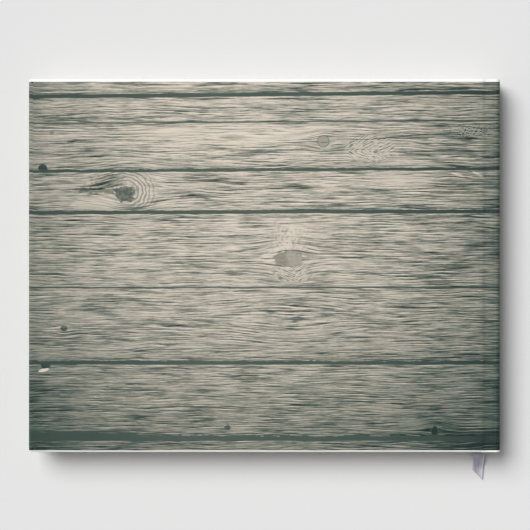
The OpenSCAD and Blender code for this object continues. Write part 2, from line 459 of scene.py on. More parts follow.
def cover_half(name, is_back, finishes):
    """The printed sheet over one board, its joint and half the spine."""
    steps = edge_steps()
    points, faces, places = [], [], []

    def add(x, y, z, across, up):
        points.append((x, y, z if is_back else THICKNESS - z))
        places.append((across - SHEET_MIDDLE if is_back else SHEET_MIDDLE - across, up))
        return len(points) - 1

    def face(*corners):
        faces.append(corners if is_back else corners[::-1])

    join_x = JOINT_LINE[0][0]
    outline = [(join_x, HALF_HEIGHT, 0.0, 1.0)]
    corner_x, corner_y = FORE_EDGE + CORNER_RADIUS, HALF_HEIGHT - CORNER_RADIUS
    turn = math.pi / 2
    for side in (1, -1):
        arc = []
        for k in range(9):
            angle = turn + turn * k / 8
            arc.append((corner_x + CORNER_RADIUS * math.cos(angle),
                        side * (corner_y + CORNER_RADIUS * math.sin(angle)),
                        math.cos(angle), side * math.sin(angle)))
        outline += arc if side == 1 else arc[::-1]
    outline.append((join_x, -HALF_HEIGHT, 0.0, -1.0))
    rings = []
    for inset, drop, run in steps:
        ring = []
        for x, y, out_x, out_y in outline:
            sharp = inset > CORNER_RADIUS and out_x < -1e-6 and abs(out_y) > 1e-6
            if sharp:
                px = FORE_EDGE + inset
                py = math.copysign(HALF_HEIGHT - inset, y)
                apart = 0.02 * MM
                px += apart * (1 + out_x)
                py -= math.copysign(apart * (1 - abs(out_y)), y)
            else:
                px, py = x - out_x * inset, y - out_y * inset
            ring.append(add(px, py, THICKNESS - drop, x + out_x * run, y + out_y * run))
        rings.append(ring)
    face(*rings[0])
    for above, below in zip(rings, rings[1:]):
        for k in range(len(outline) - 1):
            face(above[k], below[k], below[k + 1], above[k + 1])

    # the joint and the spine go on from the rings' ends
    ends = [[ring[0] for ring in rings], [ring[-1] for ring in rings]]
    last = len(JOINT_LINE) - 1
    for k, (x, z, across, depth) in enumerate(JOINT_LINE):
        if k == 0:
            continue
        x0, z0 = JOINT_LINE[k - 1][:2]
        x1, z1 = JOINT_LINE[min(k + 1, last)][:2]
        length = math.hypot(x1 - x0, z1 - z0)
        nx, nz = -(z1 - z0) / length, (x1 - x0) / length
        share = depth / PANEL_DEPTH
        fresh = [[], []]
        for side, up in ((0, 1), (1, -1)):
            for inset, drop, run in steps:
                fresh[side].append(add(x - nx * drop * share, up * (HALF_HEIGHT - inset),
                                       z - nz * drop * share, across, up * (HALF_HEIGHT + run)))
        face(ends[0][0], ends[1][0], fresh[1][0], fresh[0][0])
        for s in range(len(steps) - 1):
            face(ends[0][s + 1], ends[0][s], fresh[0][s], fresh[0][s + 1])
            face(ends[1][s], ends[1][s + 1], fresh[1][s + 1], fresh[1][s])
        ends = fresh
    piece = make_piece(name, points, faces, places, finishes)
    thicken = piece.modifiers.new("paper", "SOLIDIFY")
    thicken.thickness = SHEET_THICKNESS
    thicken.offset = -1
    thicken.material_offset = 1
    thicken.material_offset_rim = 1
    return settled(piece)


# Gaps between the printed planks: (height at the fore edge, height at the spine, half width up,
# half width down, raggedness of the upper side, of the lower side, darkness), in millimetres
GAPS = [
    (103.0, 104.9, 1.15, 1.05, 0.20, 0.15, 1.0),
    (86.6, 87.9, 0.40, 0.36, 0.12, 0.10, 0.86),
    (57.4, 58.7, 0.95, 0.75, 0.45, 0.12, 0.97),
    (32.2, 32.9, 1.15, 1.05, 0.35, 0.15, 0.97),
    (-13.3, -13.3, 0.44, 0.40, 0.12, 0.10, 0.9),
    (-58.9, -58.9, 1.15, 1.05, 0.60, 0.05, 1.0),
    (-104.7, -104.7, 1.60, 1.40, 1.10, 0.05, 1.0),
]


def printed_planks(settings):
    """The cover's print: weathered planks in two inks, under a matt film.
    Each part of the print is added to the dark, the light and the clear share as soon as it is made,
    which keeps few values in hand at once."""
    finish = Finish("printed_planks")
    unrolled, y = finish.sheet_place()
    # the back panel's own place, mirrored for the front panel about the middle of the spine
    x = SHEET_MIDDLE / MM - abs(unrolled)

    def spread(x0, y0, half_x, half_y):
        """The squared distance from a point, 1 on an ellipse round it."""
        across, up = (x - x0) / half_x, (y - y0) / half_y
        return across * across + up * up

    def disc(x0, y0, half_x, half_y, soft=0.12, fray=None):
        far = spread(x0, y0, half_x, half_y).root()
        if fray is not None:
            far = far + fray
        return far.rise(1 + soft, 1 - soft)

    wide = finish.noise(unrolled / 46, y / 17, 3.1, 1)
    ripple = finish.noise(unrolled / 8, y / 4.5, 8.4, 1)
    fray = finish.noise(unrolled / 2.2, y / 1.6, 1.7, 2) - 0.5
    slow_edge = finish.noise(unrolled / 17, 4.2, 0.6, 1)

    # grain height: the lines that the strokes follow, bent round the knots
    grain = y + (wide - 0.5) * 2.4 + (ripple - 0.5) * 0.35
    for x0, y0, half_x, half_y, amount in (
            (-83.0, 45.0, 17.0, 12.0, 0.80), (14.4, 4.2, 14.0, 11.0, 0.72), (35.5, 75.4, 7.0, 6.0, 0.55),
            (-121.7, -38.2, 6.0, 4.5, 0.6), (102.8, -100.2, 9.0, 6.0, 0.7), (112.7, 51.8, 9.0, 4.0, 0.6),
            (14.0, -31.0, 34.0, 15.0, 0.45)):
        grain = grain - (y - y0) * (spread(x0, y0, half_x, half_y).bell() * amount)
    # planks: which one a point lies in, and how near its gaps are
    plank, gap_dark, dark, light = 0.0, 0.0, 0.0, 0.0
    for k, (at_fore, at_spine, up_half, down_half, up_rag, down_rag, depth) in enumerate(GAPS):
        slope = (at_spine - at_fore) / (2 * SPINE_FACE / MM)
        line = x * slope + (at_fore + at_spine) / 2
        above = y - line + (slow_edge - 0.5) * (0.7 if k % 2 else -0.7)
        side = above > 0.0
        plank = side + plank
        rag = finish.noise(unrolled / 5, 2.7 * k + 0.4, above / 3, 3, 0.6) - 0.5
        upper = above + rag * (4 * up_rag)
        lower = above + rag * (4 * down_rag)
        inside = upper.rise(up_half + 0.22, up_half - 0.22) * lower.rise(-down_half - 0.2, -down_half + 0.2)
        gap_dark = (inside * depth).most(gap_dark)
        reach = 5.5 if up_half > 0.5 else 1.5
        dark = above.rise(reach, 0.0) * side * 0.13 + dark
        if up_half > 0.9:
            dark = dark + above.rise(-4.5, -down_half) * (1 - side) * 0.08
        if up_half > 0.5:
            lit = lower.rise(-down_half - 1.1, -down_half - 0.5) * lower.rise(-down_half, -down_half - 0.35)
            light = lit * 0.11 + light

    # the big knot, its smear and the broken rings beside it
    knot = (spread(-84.5, 43.9, 6.4, 5.0).root() + fray * 1.5).rise(1.12, 0.86)
    blotch = finish.noise(unrolled / 3.2, y / 2.2, 6.6, 2).rise(0.46, 0.58)
    dark = dark + knot * (blotch * 0.13 + 0.42)
    clear = 1 - knot
    smear = disc(-98.0, 45.9, 13.5, 1.7, 0.5, fray * 2.2)
    smear = smear.most(disc(-95.0, 51.0, 10.0, 4.6, 0.4, fray * 3.4) * 0.45)
    dark = dark + smear * clear * 0.3
    ring_x, ring_y = x + 85.0, (y - 45.0) * 1.22
    ring_far = (ring_x * ring_x + ring_y * ring_y).root() + (ripple - 0.5) * 4.5
    ring_zone = ring_far.rise(6.5, 8.5) * ring_far.rise(23.0, 12.0)
    ring_zone = ring_zone * (ring_x + ring_y * 0.35).rise(-3.0, 3.0)
    ring_zone = ring_zone * (y - 36.0).rise(-3.0, 3.0)
    rings = ((ring_far * (2 * math.pi / 2.5)).sine() + fray * 2.4 + (wide - 0.5) * 1.4).rise(0.0, 0.6)
    dark = dark + ring_zone * (rings * 0.22 + 0.05)
    light = light + ring_zone * (1 - rings) * 0.03
    clear = clear * (1 - ring_zone * 0.85)

    # the plug with its darker rim
    plug_far = spread(35.5, 75.4, 3.65, 3.65).root()
    plug = plug_far.rise(1.06, 0.98)
    dark = dark + plug * 0.24 + plug_far.rise(0.84, 0.92) * plug_far.rise(1.08, 1.0) * 0.14
    clear = clear * (1 - plug * 0.9)

    # the oval knot, two-toned, with short dashes bursting from it
    oval = disc(14.4, 4.2, 8.6, 4.4, 0.09, fray * 0.35)
    dark = dark + oval * (0.31 - (x - 13.2 + (ripple - 0.5) * 5).rise(-1.0, 1.0) * 0.09)
    dark = dark + disc(14.4, 4.2, 9.3, 5.0, 0.12, fray * 0.5) * (1 - oval) * 0.2
    clear = clear * (1 - oval * 0.9)
    burst_x, burst_y = x - 14.0, y - 3.0
    burst_far = (burst_x * burst_x + burst_y * burst_y).root()
    turned = finish.node("ShaderNodeMath", {"operation": "ARCTAN2"}, {0: burst_y, 1: burst_x})
    dashes = finish.noise(turned * 9.0, burst_far / 2.6, 2.2, 2).rise(0.52, 0.58)
    burst = spread(14.0, 15.0, 12.0, 12.0).bell()
    dark = dark + dashes * burst * 0.16
    light = light + burst * 0.04 + spread(70.0, -10.0, 26.0, 12.0).bell() * 0.03
    clear = clear * (1 - burst * 0.7)

    # slanting dashes: an arrow beside the plug that opens towards the spine, and a V below the oval knot
    arrow_slant = ((y > 69.0) * 2 - 1) * (x - 48.0) * 0.5
    slant = arrow_slant + (abs(x - 16.0) * 0.42 - arrow_slant) * (y > 30.0).rise(1.0, 0.0)
    slant_zone = spread(64.0, 71.0, 17.0, 9.5).bell().most(spread(16.0, -5.0, 15.0, 6.0).bell() * 0.9)
    slant_zone = slant_zone.rise(0.25, 0.6)
    ticks = finish.noise(unrolled / 3.6, (y - slant) / 0.62, 6.1, 2)
    dark = dark + (ticks.rise(0.52, 0.56) * 0.27 + ticks.rise(0.60, 0.64) * 0.17) * slant_zone
    clear = clear * (1 - slant_zone * 0.75)

    # the speckled patch near the spine, and the gloom round the low knot and in the low corners
    speckle = finish.noise(unrolled / 1.1, y / 0.8, 9.1, 1).rise(0.52, 0.58)
    dark = dark + spread(126.3, 81.6, 13.0, 3.4).bell() * speckle * 0.5
    for x0, y0, half_x, half_y, amount in (
            (104.0, -99.0, 15.0, 9.0, 0.22), (118.0, 50.0, 20.0, 5.0, 0.10),
            (146.0, -109.0, 40.0, 8.0, 0.42), (-143.0, -109.0, 34.0, 6.0, 0.22),
            (-142.0, -84.0, 22.0, 17.0, 0.16)):
        dark = dark + spread(x0, y0, half_x, half_y).bell() * amount

    # places with hardly a stroke
    calm = 0.0
    for x0, y0, half_x, half_y, amount in (
            (83.3, 53.4, 19.0, 4.0, 0.9), (-58.0, 80.6, 20.0, 3.2, 0.9), (0.0, 79.5, 30.0, 4.2, 0.7),
            (-101.0, 38.0, 12.0, 5.0, 0.6), (91.8, -95.5, 8.0, 3.0, 0.8)):
        calm = (spread(x0, y0, half_x, half_y).bell() * amount).most(calm)
    clear = clear * (1 - calm * 0.8)
    light = light + calm * 0.02

    def woven(along, up, seed, shift=0.0, detail=2, rough=0.5, lower=0.0):
        """Noise stretched along the grain, along by up millimetres, different on each plank."""
        across = unrolled / along
        height = (grain + lower) / up if lower else grain / up
        depth = plank * seed + shift if shift else plank * seed
        return finish.noise(across, height, depth, detail, rough)

    # strokes: three sizes of dashes and long lines, printed in steps, some with a light line below
    patch = woven(34, 6.5, 3.7, 0.3, rough=0.55)
    lean = (patch - 0.5) * 0.30 + x.rise(40.0, 135.0) * 0.03 + y.rise(-40.0, -105.0) * 0.02 - calm * 0.14
    broad = woven(26, 2.3, 1.9, 6.2)
    strokes = (broad + lean * 0.5).rise(0.46, 0.62) * 0.13
    coarse = woven(20, 0.60, 7.1, rough=0.45)
    dash = coarse + lean * 0.7
    strokes = strokes + dash.rise(0.52, 0.54) * 0.12 + dash.rise(0.58, 0.60) * 0.14
    strokes = strokes + dash.rise(0.66, 0.68) * 0.14
    below = woven(20, 0.60, 7.1, rough=0.45, lower=0.60) + lean * 0.7
    shine = below.rise(0.56, 0.59) * dash.rise(0.54, 0.50) * 0.12
    low_edge = spread(-120.0, -102.2, 75.0, 2.8).bell() + (coarse - 0.5) * 2.2
    gap_dark = gap_dark.most(low_edge.rise(0.36, 0.56))
    middle = woven(8.0, 0.42, 5.3, 2.2, rough=0.45)
    tick = middle + lean * 0.8
    strokes = strokes + tick.rise(0.54, 0.56) * 0.10 + tick.rise(0.61, 0.63) * 0.12
    shine = shine + tick.rise(0.38, 0.34) * 0.05
    fine = woven(3.2, 0.34, 9.7, 5.5, detail=1)
    strokes = strokes + (fine + lean * 0.6).rise(0.54, 0.60) * 0.08
    drift = woven(52, 8.0, 2.9, 4.4)
    line_wave = (grain * (2 * math.pi / 1.9) + drift * 24.0).sine() + (middle - 0.5) * 1.5
    line_zone = woven(30, 5.0, 4.1, 8.8) + x.rise(30, 120) * 0.09
    line_zone = line_zone.rise(0.46, 0.56)
    strokes = strokes + line_wave.rise(0.35, 0.75) * line_zone * 0.22
    shine = shine + line_wave.rise(-0.7, -1.05) * line_zone * 0.06
    dark = dark + strokes * clear * settings.grain_contrast
    light = light + shine * clear

    # spots, cracks and the half hole at a plank's edge, darker than all round them
    for x0, y0, half_x, half_y, amount in (
            (-121.7, -38.2, 2.4, 1.7, 0.55), (-22.8, -98.1, 1.9, 1.6, 0.5), (-132.7, -60.2, 3.3, 2.2, 0.72),
            (102.8, -100.2, 2.2, 3.2, 0.7), (-109.0, 46.2, 3.6, 0.9, 0.5), (-129.0, 81.0, 1.6, 1.2, 0.3)):
        dark = dark.most(disc(x0, y0, half_x, half_y, 0.25, fray * 0.9) * amount)
    crack_line = y - 76.5 - (x - 60.0) * 0.075 + (ripple - 0.5) * 1.4
    dark = dark.most(abs(crack_line).rise(0.55, 0.3) * x.rise(62.0, 72.0) * x.rise(125.0, 112.0) * 0.58)
    lens_far = spread(112.7, 51.8, 10.0, 3.6).root() + (ripple - 0.5) * 0.2
    dark = dark.most(lens_far.rise(0.86, 0.95) * lens_far.rise(1.14, 1.05) * (fray + 0.2) * 0.9)
    dark = dark.most(disc(-134.5, 58.8, 2.9, 3.1, 0.1) * (y > 58.4) * 0.72)
    # light chips: below the notch, and slanting ones near the spine
    for x0, y0, half_x, half_y, lean, amount in (
            (-134.0, -63.4, 3.4, 1.0, 0.22, 0.40), (117.0, 55.0, 4.4, 1.0, -0.36, 0.15),
            (129.3, 55.3, 4.0, 1.0, -0.48, 0.17)):
        off = (y - y0 - (x - x0) * lean) / half_y
        light = light + (off * off + (x - x0) * (x - x0) / half_x ** 2).rise(1.2, 0.6) * amount

    # gather the inks: the lightness of open wood, less everything dark on it
    centre_x, centre_y = x + 6.0, y - 60.0
    open_light = 0.842 - (centre_x * centre_x + centre_y * centre_y) * 0.0000088
    tone = open_light * (1 - dark.least(0.9)) + light
    # painted shade: the print is darkened towards the spine, where the joint's groove and the spine's
    # rounding turn away from the light; it is also a little darker towards the fore edge
    tone = tone * (1 - x.rise(128.0, 146.0) * 0.22 - x.rise(-130.0, -143.0) * 0.10)
    gap_x = x + 15.0
    gap_tone = 0.330 - gap_x * gap_x * 0.0000052 + (wide - 0.5) * 0.05
    tone = tone * (1 - gap_dark) + gap_tone * gap_dark
    inks = finish.ramp(tone, [
        (0.12, display(26, 40, 38)), (0.22, display(45, 62, 59)), (0.31, display(67, 84, 77)),
        (0.42, display(103, 111, 102)), (0.54, display(139, 138, 126)), (0.66, display(172, 168, 155)),
        (0.76, display(200, 192, 178)), (0.87, display(226, 215, 200))])
    warm = finish.noise(unrolled / 21, grain / 3.5, plank + 12.5, 2).rise(0.44, 0.66)
    inks = finish.blend(warm * 0.5, inks, (1.0, 0.965, 0.93, 1.0), "MULTIPLY")
    # unprinted paper at the head and tail, with a slightly uneven edge
    print_end = HALF_HEIGHT / MM - settings.border / MM
    # the print sits a little low on its sheet
    bare = (abs(y + 0.25) + (slow_edge - 0.5) * 0.3).rise(print_end - 0.12, print_end + 0.12)
    colour = finish.blend(bare, inks, display(250, 250, 249))
    # the sides of the boards at head and tail, painted an uneven darker grey: painted shade that dims their
    # lit faces and the light they throw onto the floor
    dimmed_board_sides = abs(y).rise(HALF_HEIGHT / MM + 0.4, HALF_HEIGHT / MM + 1.0) * (fray * 0.5 + 0.75)
    colour = finish.blend(dimmed_board_sides, colour, display(206, 202, 195))
    film = finish.noise(unrolled / 0.45, y / 0.45, 0.0, 2)
    roughness = settings.gloss_roughness + (film - 0.5) * 0.12
    return finish.done(colour, roughness, film, 0.012 * MM, 0.6, Specular_IOR_Level=0.22)


# ---------------------------------------------------------------- plain finishes

def paper_finish(name, base, fleck=0.05, warmth=(0.93, 0.91, 0.86)):
    """Uncoated paper: faint clouds, short fibres and a soft tooth."""
    finish = Finish(name)
    x, y = finish.sheet_place()
    cloud = finish.noise(x / 18, y / 18, 0.5, 3)
    fibre = finish.noise(x / 1.6, y / 0.35, 3.3, 3, 0.6, 0.8)
    tooth = finish.noise(x / 0.28, y / 0.28, 7.1, 2, 0.6)
    shade = (cloud - 0.5) * 0.5 + (fibre - 0.5) * 0.9 + 0.4
    deep = tuple(base[k] * warmth[k] for k in range(3)) + (1.0,)
    colour = finish.blend(shade.rise(0.1, 0.9) * (fleck / 0.05) * 0.6, tuple(base) + (1.0,), deep)
    return finish.done(colour, 0.78 + (fibre - 0.5) * 0.2, tooth + fibre * 0.6, 0.02 * MM, 0.5,
                       Specular_IOR_Level=0.25)


def sheet_inside_finish():
    """The unprinted side and cut edge of the cover sheet."""
    return paper_finish("cover_sheet_inside", display(238, 236, 230)[:3], 0.08)


def greyboard_finish():
    """Pressed grey board with flecks of old paper."""
    finish = Finish("greyboard")
    x, y, z = finish.solid_place()
    cloud = finish.noise(x / 6, y / 6, z / 1.5, 4, 0.6)
    fleck = finish.noise(x / 0.5, y / 0.5, z / 0.2, 2, 0.5).rise(0.6, 0.68)
    layers = finish.noise(x / 9, y / 9, z / 0.18, 2)
    colour = finish.ramp(cloud * 0.7 + layers * 0.3,
                         [(0.3, display(132, 124, 112)), (0.7, display(166, 157, 142))])
    colour = finish.blend(fleck * 0.55, colour, display(205, 199, 188))
    return finish.done(colour, 0.88 + (cloud - 0.5) * 0.1, cloud + fleck * 0.4 + layers, 0.06 * MM, 0.7,
                       Specular_IOR_Level=0.2)


def crash_cloth_finish():
    """Stiffened open cotton weave."""
    finish = Finish("crash_cloth")
    x, y = finish.sheet_place()
    turn = 2 * math.pi / 0.9
    warp, weft = (x * turn).sine(), (y * turn).sine()
    over = (x * (turn / 2)).sine() * (y * (turn / 2)).sine()
    weave = abs(warp) * (over.rise(-0.2, 0.2)) + abs(weft) * over.rise(0.2, -0.2)
    slub = finish.noise(x / 3, y / 0.4, 1.0, 3)
    # painted shade: darker where the weave dips between the threads
    colour = finish.ramp(weave * 0.7 + slub * 0.4,
                         [(0.1, display(176, 168, 150)), (0.8, display(233, 227, 213))])
    return finish.done(colour, 0.9 + (slub - 0.5) * 0.1, weave + slub * 0.3, 0.12 * MM, 0.9,
                       Specular_IOR_Level=0.2, Sheen_Weight=0.2, Sheen_Roughness=0.5)


def liner_finish():
    """Brown kraft paper with long fibres."""
    finish = Finish("liner_paper")
    x, y, z = finish.solid_place()
    fibre = finish.noise(x / 0.4, y / 4, z / 0.5, 4, 0.6, 0.6)
    cloud = finish.noise(x / 5, y / 12, z / 5, 3)
    colour = finish.ramp(fibre * 0.6 + cloud * 0.4,
                         [(0.3, display(168, 140, 104)), (0.7, display(205, 181, 145))])
    return finish.done(colour, 0.8 + (fibre - 0.5) * 0.2, fibre, 0.05 * MM, 0.6, Specular_IOR_Level=0.25)


def thread_finish():
    """Waxed linen thread: two plies twisted together."""
    finish = Finish("linen_thread")
    x, y, z = finish.solid_place()
    twist = ((z * 1.0 + y * 0.8 + x * 0.6) * (2 * math.pi / 0.34)).sine()
    fuzz = finish.noise(x / 0.1, y / 0.1, z / 0.1, 2)
    # painted shade: the twist makes light and dark stripes, darker in the grooves between the plies
    colour = finish.ramp(twist * 0.35 + fuzz * 0.5 + 0.25,
                         [(0.1, display(206, 197, 176)), (0.9, display(247, 243, 231))])
    return finish.done(colour, 0.6 + (fuzz - 0.5) * 0.2, twist * 0.5 + fuzz * 0.4, 0.08 * MM, 0.9,
                       Specular_IOR_Level=0.35, Sheen_Weight=0.15, Sheen_Roughness=0.4)


def band_finish():
    """Silk over a cord core, wound in white with a silver-lilac stripe."""
    finish = Finish("band_silk")
    along, around = finish.sheet_place()
    wind = (along * (2 * math.pi / 0.45)).sine()
    stripe = (along * (2 * math.pi / 1.8)).sine().rise(-0.1, 0.1)
    fuzz = finish.noise(along / 0.2, around / 0.3, 1.1, 2)
    colour = finish.blend(stripe, display(240, 239, 240), display(166, 163, 176))
    # painted shade: darker in the grooves between the windings
    colour = finish.blend(wind.rise(0.2, -0.9) * 0.35, colour, display(110, 108, 118))
    return finish.done(colour, 0.42 + (fuzz - 0.5) * 0.25, wind * 0.4 + fuzz * 0.5, 0.06 * MM, 0.8,
                       Specular_IOR_Level=0.45, Sheen_Weight=0.3, Sheen_Roughness=0.35)


def satin_finish(settings):
    """Single-face satin: close weft floats, a soft painted sheen along its length, and firm edges that are
    rougher, raised and painted lighter as highlights, most along the lifted edge.
    """
    finish = Finish("ribbon_satin")
    along, across = finish.sheet_place()
    half = settings.width / MM / 2
    floats = (along * (2 * math.pi / 0.30)).sine()
    yarn = finish.noise(along / 0.55, across / 0.16, 0.4, 3, 0.6)
    streak = finish.noise(along / 9, across / 0.7, 5.1, 3)
    # painted highlights: both long edges are painted lighter, and the lifted edge carries a brighter
    # painted line
    edge = abs(across).rise(half - 0.75, half - 0.3)
    lifted_edge_highlight = (-across).rise(half - 0.8, half - 0.5)
    # painted sheen: a slow noise blends the colour between a shaded copy and a lit copy, together with the
    # streaks and the yarn's tone
    painted_sheen = finish.noise(along / 6, across / 5, 2.2, 2)
    base = tuple(settings.colour)
    light = tuple(min(1.0, c * 1.55) for c in base) + (1.0,)
    deep = tuple(c * 0.66 for c in base) + (1.0,)
    shade = (painted_sheen - 0.5) * 0.9 + (streak - 0.5) * 0.7 + (yarn - 0.5) * 0.4 + 0.5
    colour = finish.ramp(shade, [(0.15, deep), (0.5, base + (1.0,)), (0.85, light)])
    colour = finish.blend((edge * 0.45).most(lifted_edge_highlight), colour, light)
    rough = 0.34 + (yarn - 0.5) * 0.18 + edge * 0.12
    return finish.done(colour, rough, floats * 0.35 + yarn * 0.5 + edge * 0.6, 0.05 * MM, 0.7,
                       Specular_IOR_Level=0.5, Sheen_Weight=0.35, Sheen_Roughness=0.3, Anisotropic=0.5)


def floor_finish(settings):
    finish = Finish("floor")
    x, y, _ = finish.solid_place()
    cloud = finish.noise(x / 900, y / 900, 0.0, 1)
    base = tuple(settings.floor_colour)
    colour = finish.blend(cloud, base + (1.0,), tuple(c * 0.998 for c in base) + (1.0,))
    return finish.done(colour, 0.95, Specular_IOR_Level=0.0)


# ---------------------------------------------------------------- operators

class GUESTBOOK_OT_stage(bpy.types.Operator):
    """Sets the camera, the soft light and the pale floor"""
    bl_idname = "guest_book.stage"
    bl_label = "Stage"

    def execute(self, context):
        settings = context.scene.guest_book.stage
        scene = context.scene
        camera = bpy.data.objects.new("camera", bpy.data.cameras.new("camera"))
        scene.collection.objects.link(camera)
        scene.camera = camera
        camera.data.lens = 120
        camera.data.sensor_width = 36
        height = VIEW_WIDTH / camera.data.sensor_width * camera.data.lens
        camera.location = (*VIEW_CENTRE, THICKNESS + height)
        camera.data.clip_start, camera.data.clip_end = 0.05, 20

        sun = bpy.data.objects.new("key_light", bpy.data.lights.new("key_light", "SUN"))
        scene.collection.objects.link(sun)
        sun.data.energy = settings.light
        sun.data.angle = math.radians(LIGHT_SPREAD)
        slant = math.tan(math.radians(LIGHT_SLANT))
        toward = Vector((-slant, slant, 1))
        sun.rotation_mode = "QUATERNION"
        sun.rotation_quaternion = toward.to_track_quat("Z", "Y")

        world = bpy.data.worlds.new("studio")
        scene.world = world
        world.use_nodes = True
        sky = world.node_tree.nodes["Background"]
        sky.inputs["Color"].default_value = (1, 1, 1, 1)
        sky.inputs["Strength"].default_value = settings.fill
        scene.view_settings.view_transform = "Standard"
        scene.view_settings.look = "None"

        corners = [(x * FLOOR_REACH, y * FLOOR_REACH) for x, y in ((-1, -1), (1, -1), (1, 1), (-1, 1))]
        floor = make_piece("floor", [(x, y, 0) for x, y in corners], [(0, 1, 2, 3)], corners,
                           [floor_finish(settings)], smooth=False)
        return {"FINISHED"}


def smooth_route(route, steps):
    """A smooth line through the route's points."""
    line = []
    for k in range(len(route) - 1):
        before, start = route[max(k - 1, 0)], route[k]
        stop, after = route[k + 1], route[min(k + 2, len(route) - 1)]
        for s in range(steps):
            t = s / steps
            line.append(tuple(
                0.5 * (2 * start[a] + (stop[a] - before[a]) * t
                       + (2 * before[a] - 5 * start[a] + 4 * stop[a] - after[a]) * t * t
                       + (3 * start[a] - before[a] - 3 * stop[a] + after[a]) * t ** 3) for a in range(3)))
    line.append(route[-1])
    return line


class GUESTBOOK_OT_ribbon(bpy.types.Operator):
    """Makes the ribbon marker, from the glued end at the head to its slanted end on the table"""
    bl_idname = "guest_book.ribbon"
    bl_label = "Ribbon marker"

    def execute(self, context):
        settings = context.scene.guest_book.ribbon
        line = [Vector(p) * MM for p in smooth_route(RIBBON_ROUTE, 4)]
        half, columns = settings.width / 2, 10
        points, places = [], []
        run = [0.0]
        for a, b in zip(line, line[1:]):
            run.append(run[-1] + (b - a).length)
        length = run[-1]
        for side in (1, -1):
            for k, place in enumerate(line):
                ahead = (line[min(k + 1, len(line) - 1)] - line[max(k - 1, 0)]).normalized()
                across = ahead.cross(Vector((0, 0, 1))).normalized()
                up = across.cross(ahead).normalized()
                tail = max(0.0, (run[k] - (length - RIBBON_TAIL)) / RIBBON_TAIL)
                for j in range(columns + 1):
                    share = 2 * j / columns - 1
                    lift = min(1.0, tail * 2.5) * (1 - 0.55 * tail) * max(0.0, share) ** 2
                    curl = 1.6 * MM * lift + 0.14 * MM * tail * share * share
                    edge = 1 - 0.45 * max(0.0, abs(share) - 0.8) / 0.2
                    trim = max(0.0, run[k] - (length - RIBBON_SLANT * (1 - share) / 2))
                    point = place + across * (-share * half)
                    point = point + up * (curl + side * RIBBON_THICKNESS / 2 * edge)
                    point = point - ahead * trim
                    points.append(point)
                    places.append((run[k] - trim, -share * half))
        faces = shell_faces(len(line), columns)
        ribbon = make_piece("ribbon_marker", points, faces, places, [satin_finish(settings)])
        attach(ribbon, "text_block")
        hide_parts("ribbon")
        return {"FINISHED"}


class GUESTBOOK_OT_cover_sheet(bpy.types.Operator):
    """Makes the printed sheet round both boards, their joints and the spine"""
    bl_idname = "guest_book.cover_sheet"
    bl_label = "Printed cover sheet"

    def execute(self, context):
        finishes = [printed_planks(context.scene.guest_book.cover), sheet_inside_finish()]
        for side, is_back in (("back", True), ("front", False)):
            sheet = cover_half(f"cover_sheet_{side}", is_back, finishes)
            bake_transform(sheet)
            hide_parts(f"{side}_cover_wrap", f"{side}_joint_strip",
                        *(["spine_wrap"] if is_back else []))
        return {"FINISHED"}


class GUESTBOOK_OT_boards(bpy.types.Operator):
    """Finishes the grey boards of the case"""
    bl_idname = "guest_book.boards"
    bl_label = "Boards"

    def execute(self, context):
        finish = greyboard_finish()
        for node in ("back_board", "front_board", "spine_board"):
            dress(node, finish)
        return {"FINISHED"}


def dress(node, finish):
    """Gives a CAD piece its finish in every slot."""
    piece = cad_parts[node]
    if not piece.material_slots:
        raise RuntimeError(f"{node} has no material slot")
    for entry in piece.material_slots:
        entry.material = finish


def leaf_path(level, gutter_level, far):
    """A leaf's line from the gutter out to its fore edge, settling from the gutter's level to its own."""
    start = GUTTER - 0.15 * MM
    path = []
    for k in range(17):
        share = k / 16
        x = start + (BOARD_END - start) * share
        settle = eased(min(1.0, share * 2.2))
        path.append((x, gutter_level + (level - gutter_level) * settle))
    for k in range(1, 9):
        path.append((BOARD_END + (far - BOARD_END) * k / 8, level))
    return path


class GUESTBOOK_OT_endpapers(bpy.types.Operator):
    """Makes both endpapers, each half glued to its board and half free"""
    bl_idname = "guest_book.endpapers"
    bl_label = "Endpapers"

    def execute(self, context):
        settings = context.scene.guest_book.paper
        finish = paper_finish("endpaper", tuple(settings.endpaper_colour), 0.05)
        for side in ("back", "front"):
            stuck_low, stuck_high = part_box(f"{side}_pastedown")
            free_low, free_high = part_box(f"{side}_flyleaf")
            stuck, free = (stuck_low.z + stuck_high.z) / 2, (free_low.z + free_high.z) / 2
            fold = (stuck + free) / 2
            for name, level, body, nodes in (
                    ("pastedown", stuck, f"{side}_cover", (f"{side}_pastedown", f"{side}_endpaper_fold")),
                    ("flyleaf", free, f"{side}_endleaf", (f"{side}_flyleaf",))):
                points, faces, places = strip_along(
                    leaf_path(level, fold + (level - fold) * 0.6, stuck_low.x), ENDPAPER_THICKNESS,
                    stuck_low.y, stuck_high.y, 4)
                sheet = make_piece(f"{side}_{name}_sheet", points, faces, places, [finish])
                flat_edges(sheet)
                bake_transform(sheet)
                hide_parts(*nodes)
        return {"FINISHED"}


def flat_edges(piece):
    """Keeps the cut edges of a sheet crisp."""
    piece.data.set_sharp_from_angle(angle=math.radians(40))


